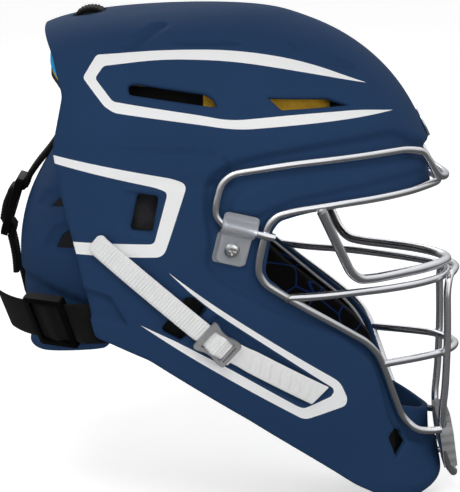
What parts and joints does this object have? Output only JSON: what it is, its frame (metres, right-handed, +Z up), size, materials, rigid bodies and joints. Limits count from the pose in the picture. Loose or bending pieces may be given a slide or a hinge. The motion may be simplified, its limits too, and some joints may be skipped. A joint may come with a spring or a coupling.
{
  "type": "catcher's mask helmet",
  "caption": "Hockey-style catcher's helmet: moulded shell with wire face cage, layered liner, sprung back plate and adjustable webbing straps.",
  "frame": {"origin": "middle plane at ear height, at the middle of the head space", "axes": "+X the way the face points, +Y the wearer's left, +Z up"},
  "size_m": [0.2976, 0.2122, 0.3205],
  "materials": {
    "shell_paint": "matt navy paint over impact plastic",
    "liner_fabric": "black brushed liner cloth with thin blue lines",
    "badge": "navy domed disc with a white rim",
    "cage_steel": "satin silver coated wire",
    "smoke_clip": "smoky translucent plastic",
    "fastener_steel": "bright zinc",
    "foam_yellow": "amber impact foam",
    "foam_blue": "cyan impact foam",
    "black_webbing": "black woven elastic",
    "white_webbing": "white ribbed webbing",
    "buckle_black": "black acetal",
    "clear_clip": "clear polycarbonate",
    "foam_dark": "charcoal impact foam",
    "glide_grey": "silver-grey moulded plastic"
  },
  "bodies": {
    "root": {"brow_badge": "badge", "brow_pad": "liner_fabric", "cage_chin_wire": "cage_steel", "cage_eye_wire_lower": "cage_steel", "cage_eye_wire_upper": "cage_steel", "cage_mouth_wire": "cage_steel", "cage_outer_wire": "cage_steel", "cage_perimeter_wire": "cage_steel", "chin_clip": "smoke_clip", "chin_clip_nuts": "fastener_steel", "chin_clip_screws": "fastener_steel", "chin_pad": "liner_fabric", "crown_comfort_pad": "liner_fabric", "crown_foam_inner": "foam_yellow", "crown_foam_outer": "foam_blue", "crown_strap_loop": "black_webbing", "jaw_pad_left": "liner_fabric", "jaw_pad_right": "liner_fabric", "jaw_strap_left": "white_webbing", "jaw_strap_right": "white_webbing", "jaw_strap_tab_left": "white_webbing", "jaw_strap_tab_right": "white_webbing", "main_shell": "shell_paint", "side_clip_left": "clear_clip", "side_clip_nuts": "fastener_steel", "side_clip_right": "clear_clip", "side_clip_screws": "fastener_steel", "side_foam_left": "foam_dark", "side_foam_right": "foam_dark"},
    "harness": {"top_strap": "black_webbing", "side_strap_right": "black_webbing", "side_strap_left": "black_webbing"},
    "back_plate": {"back_plate": "shell_paint", "back_plate_pad": "liner_fabric", "top_strap_tail": "black_webbing", "side_strap_tail_right": "black_webbing", "side_strap_tail_left": "black_webbing"},
    "rear_buckle": {"rear_buckle": "buckle_black"},
    "side_buckle_right": {"side_buckle_right": "buckle_black"},
    "side_buckle_left": {"side_buckle_left": "buckle_black"},
    "tri_glide_right": {"tri_glide_right": "glide_grey"},
    "tri_glide_left": {"tri_glide_left": "glide_grey"}
  },
  "joints": [
    {"name": "harness_stretch", "type": "slide", "parent": "root", "child": "harness", "axis": [-1, 0, 0], "range_m": [0, 0.008], "stiffness_N_per_m": 400, "springref_m": -0.002, "deforming": ["top_strap", "side_strap_right", "side_strap_left"]},
    {"name": "back_plate_swing", "type": "hinge", "parent": "harness", "child": "back_plate", "pos_m": [-0.106, 0, 0.036], "axis": [0, 1, 0], "range_deg": [0, 9], "stiffness_Nm_per_rad": 1, "springref_deg": -2.86, "deforming": ["top_strap", "side_strap_right", "side_strap_left"]},
    {"name": "rear_buckle_slide", "type": "slide", "parent": "back_plate", "child": "rear_buckle", "axis": [-0.2928, 0, -0.9562], "range_m": [-0.004, 0.004]},
    {"name": "side_buckle_right_slide", "type": "slide", "parent": "back_plate", "child": "side_buckle_right", "axis": [-0.8601, 0.5101, 0], "range_m": [-0.005, 0.005]},
    {"name": "side_buckle_left_slide", "type": "slide", "parent": "back_plate", "child": "side_buckle_left", "axis": [-0.8601, -0.5101, 0], "range_m": [-0.005, 0.005]},
    {"name": "tri_glide_right_slide", "type": "slide", "parent": "root", "child": "tri_glide_right", "axis": [0.7479, 0.1725, -0.641], "range_m": [-0.003, 0.003]},
    {"name": "tri_glide_left_slide", "type": "slide", "parent": "root", "child": "tri_glide_left", "axis": [0.7479, -0.1725, -0.641], "range_m": [-0.003, 0.003]}
  ]
}
